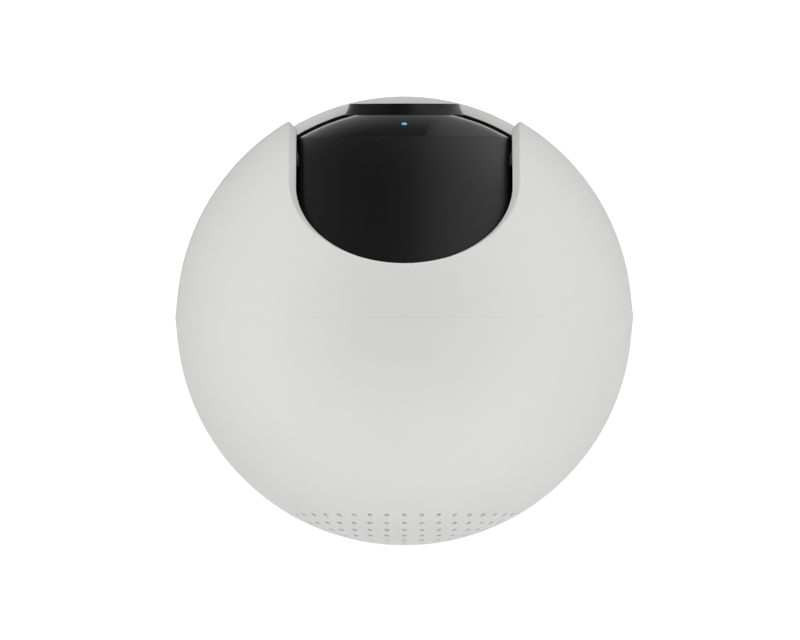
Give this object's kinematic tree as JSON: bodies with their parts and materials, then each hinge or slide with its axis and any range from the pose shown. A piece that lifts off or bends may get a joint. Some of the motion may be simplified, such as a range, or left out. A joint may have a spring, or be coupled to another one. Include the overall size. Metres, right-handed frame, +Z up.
{
  "type": "indoor security camera",
  "caption": "White ball-shaped indoor camera on a base cup; the ball pans and a black lens unit with a ringed lens tilts in its slot.",
  "frame": {"origin": "on the table under the pan axis, the middle of the base's foot", "axes": "+Z up along the pan axis; -Y the way the lens looks at rest; +X along the tilt axis, to the right when the camera is seen from the front"},
  "size_m": [0.0884, 0.0868, 0.1122],
  "materials": {
    "white_plastic": "fine satin, white ABS",
    "rubber_grey": "matt silicone",
    "brass": "turned",
    "screw_steel": "zinc plated",
    "natural_pom": "natural acetal",
    "motor_steel": "plated can",
    "board_green": "solder mask",
    "inlet_steel": "plated sheet",
    "black_moulding": "plain moulding",
    "antenna_board": "thin board",
    "aluminium": "anodised",
    "spring_steel": "hardened",
    "chip_black": "moulded package",
    "speaker_paper": "coated paper",
    "rubber_black": "foam",
    "magnet_steel": "plated",
    "black_satin": "smooth satin, black",
    "black_gloss": "polished, black",
    "ring_grey": "satin dark grey",
    "barrel_black": "black anodised",
    "lens_glass": "coated optical glass",
    "sensor_glass": "glass lid",
    "coil_copper": "wound coil",
    "lamp_resin": "clear resin package",
    "pipe_clear": "clear light pipe",
    "microphone_steel": "can",
    "filter_glass": "coated filter glass",
    "card_black": "moulded card",
    "button_grey": "moulded"
  },
  "bodies": {
    "base": {"base_cup": "white_plastic", "bottom_cover": "white_plastic", "foot_ring": "rubber_grey", "tripod_insert": "brass", "bottom_screws": "screw_steel", "pan_bush": "natural_pom", "pan_motor": "motor_steel", "base_inner_screws": "screw_steel", "base_board": "board_green", "usb_inlet": "inlet_steel", "usb_tongue": "black_moulding"},
    "pan_pinion": {"pan_pinion": "natural_pom"},
    "head": {"antenna": "antenna_board", "front_shell": "white_plastic", "head_inner_screws": "screw_steel", "heatsink": "aluminium", "main_board": "board_green", "pan_clip": "spring_steel", "pan_gear": "natural_pom", "processor": "chip_black", "rear_shell": "white_plastic", "shell_screws": "screw_steel", "speaker_cone": "speaker_paper", "speaker_frame": "black_moulding", "speaker_gasket": "rubber_black", "speaker_magnet": "magnet_steel", "tilt_bushes": "natural_pom", "tilt_motor": "motor_steel", "turntable": "white_plastic", "yoke": "white_plastic"},
    "tilt_pinion": {"tilt_pinion": "natural_pom"},
    "lens_unit": {"unit_shell": "black_satin", "front_mask": "black_gloss", "lens_ring": "ring_grey", "lens_barrel": "barrel_black", "front_lens": "lens_glass", "inner_lenses": "lens_glass", "sensor_board": "board_green", "image_sensor": "sensor_glass", "lens_holder": "black_moulding", "ir_cut_frame": "black_moulding", "ir_cut_coil": "coil_copper", "lamp_board": "board_green", "infrared_lamps": "lamp_resin", "status_pipe": "pipe_clear", "status_lamp": "lamp_resin", "microphone": "microphone_steel", "light_sensor": "lamp_resin", "card_board": "board_green", "card_socket": "inlet_steel", "reset_switch": "black_moulding", "unit_rear_cover": "black_satin", "unit_screws": "screw_steel", "tilt_gear": "natural_pom", "trunnion": "natural_pom"},
    "cut_filter": {"ir_cut_blade": "black_moulding", "filter_panes": "filter_glass"},
    "card": {"memory_card": "card_black"},
    "reset": {"reset_button": "button_grey"}
  },
  "joints": [
    {"name": "pan", "type": "hinge", "parent": "base", "child": "head", "pos_m": [0, 0, 0.068], "axis": [0, 0, 1], "range_deg": [-170, 170]},
    {"name": "pan_pinion_turn", "type": "hinge", "parent": "base", "child": "pan_pinion", "pos_m": [0, -0.0217, 0.016], "axis": [0, 0, 1], "range_deg": [-850, 850]},
    {"name": "tilt", "type": "hinge", "parent": "head", "child": "lens_unit", "pos_m": [0, 0, 0.068], "axis": [-1, 0, 0], "range_deg": [-10, 45]},
    {"name": "tilt_pinion_turn", "type": "hinge", "parent": "head", "child": "tilt_pinion", "pos_m": [0.0215, 0.01483, 0.05762], "axis": [-1, 0, 0], "range_deg": [-180, 40]},
    {"name": "cut_filter_slide", "type": "slide", "parent": "lens_unit", "child": "cut_filter", "axis": [1, 0, 0], "range_m": [0, 0.0052]},
    {"name": "card_push", "type": "slide", "parent": "lens_unit", "child": "card", "axis": [0, 0.6428, 0.766], "range_m": [0, 0.0008], "stiffness_N_per_m": 400, "springref_m": -0.001},
    {"name": "reset_press", "type": "slide", "parent": "lens_unit", "child": "reset", "axis": [0, 0.6428, 0.766], "range_m": [0, 0.00035], "stiffness_N_per_m": 800, "springref_m": -0.0005}
  ],
  "couplings": [
    {"joint": "pan_pinion_turn", "follows": "pan", "ratio": -5},
    {"joint": "tilt_pinion_turn", "follows": "tilt", "ratio": -4}
  ]
}
